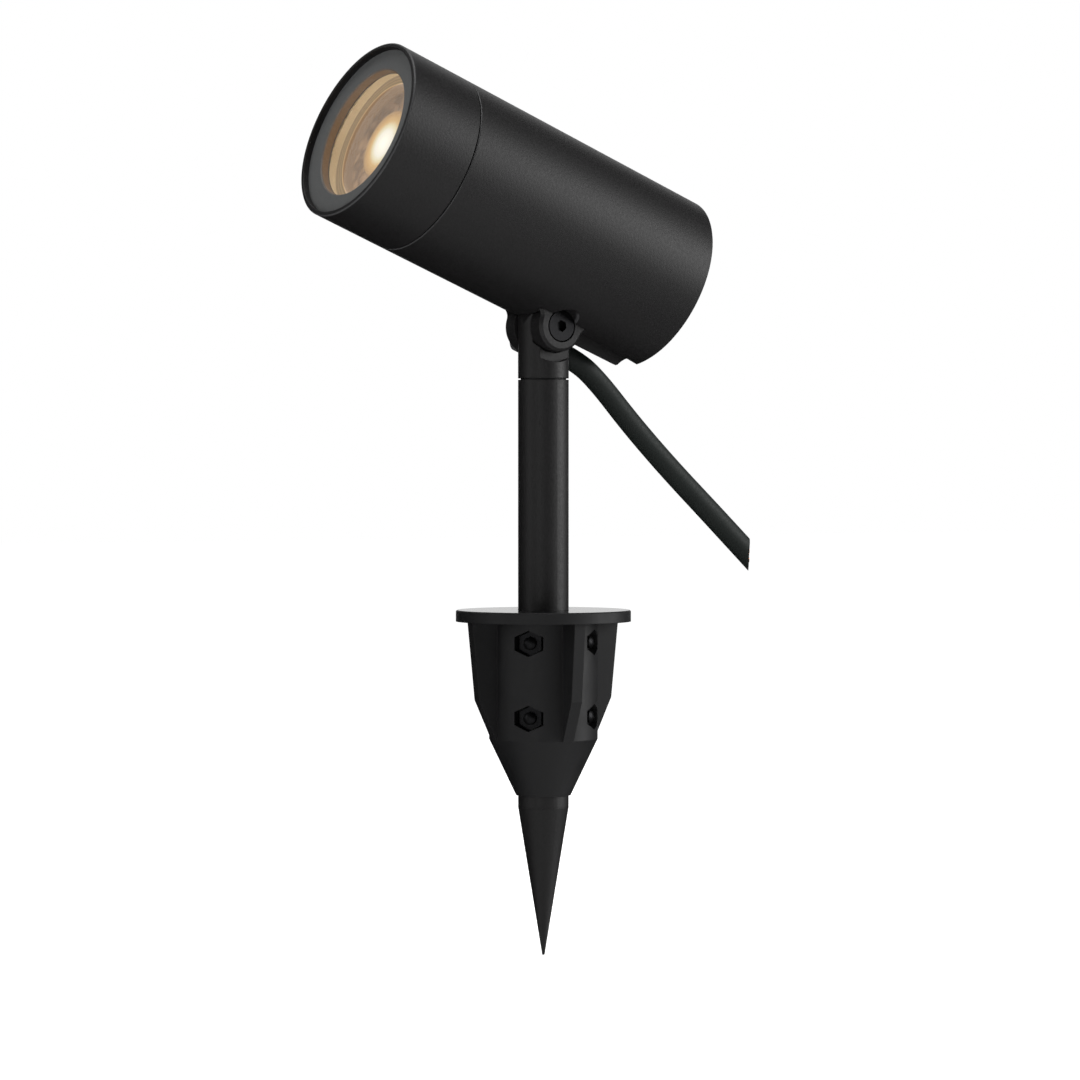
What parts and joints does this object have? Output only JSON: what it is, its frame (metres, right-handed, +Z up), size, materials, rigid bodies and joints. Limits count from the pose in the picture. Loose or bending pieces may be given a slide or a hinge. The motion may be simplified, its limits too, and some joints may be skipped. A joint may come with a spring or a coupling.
{
  "type": "landscape spotlight",
  "caption": "Black cylindrical outdoor spotlight on a tilting yoke and swivelling stem, with a flanged ground spike and a short supply cord.",
  "frame": {"origin": "centre of the collar flange's underside, at soil level, on the stem's axis", "axes": "+Z up along the stem, the lamp aims towards -Y and up, the hinge runs along X"},
  "size_m": [0.0598, 0.1792, 0.293],
  "materials": {
    "powder_coat": "fine-textured black powder coat on aluminium",
    "moulded_nylon": "black moulded glass-filled nylon, matt",
    "black_steel": "black-coated socket screw",
    "plain_steel": "plain stainless fastener",
    "satin_ring": "dark grey satin anodised ring",
    "clear_glass": "clear toughened glass",
    "clear_optic": "clear moulded optic",
    "holder_plastic": "pale moulded holder",
    "board_white": "white solder mask",
    "emitter_warm": "warm white emitter",
    "bare_aluminium": "turned aluminium",
    "driver_plastic": "black potting case",
    "terminal_plastic": "pale terminal block",
    "wire_insulation": "coloured core insulation",
    "seal_rubber": "black seal rubber",
    "pale_silicone": "translucent silicone gasket",
    "cord_rubber": "black rubber sheath"
  },
  "bodies": {
    "spike": {"ground_collar": "moulded_nylon", "collar_nuts": "black_steel", "collar_studs": "black_steel", "stem_tube": "powder_coat", "spike_tip": "powder_coat", "stem_insert": "plain_steel"},
    "swivel": {"swivel_knuckle": "powder_coat", "swivel_bolt": "plain_steel", "swivel_washer": "moulded_nylon", "swivel_spring_washer": "plain_steel"},
    "head": {"yoke": "powder_coat", "yoke_screws": "plain_steel", "hinge_screw": "black_steel", "hinge_nut": "black_steel", "friction_washers": "moulded_nylon", "head_housing": "powder_coat", "front_bezel": "powder_coat", "bezel_o_ring": "seal_rubber", "glare_ring": "satin_ring", "front_glass": "clear_glass", "glass_gasket": "pale_silicone", "optic_lens": "clear_optic", "optic_holder": "holder_plastic", "led_board": "board_white", "led_emitter": "emitter_warm", "board_screws": "plain_steel", "heat_sink": "bare_aluminium", "driver_case": "driver_plastic", "terminal_block": "terminal_plastic", "driver_leads": "wire_insulation", "core_wires": "wire_insulation", "gland_body": "moulded_nylon", "gland_nut": "moulded_nylon", "gland_seal": "seal_rubber", "gripped_cord": "cord_rubber", "supply_cord": "cord_rubber"}
  },
  "joints": [
    {"name": "pan", "type": "hinge", "parent": "spike", "child": "swivel", "pos_m": [0, 0, 0.0785], "axis": [0, 0, 1], "range_deg": [-170, 170]},
    {"name": "tilt", "type": "hinge", "parent": "swivel", "child": "head", "pos_m": [0, 0, 0.0957], "axis": [-1, 0, 0], "range_deg": [-47, 60], "deforming": ["supply_cord"]}
  ]
}
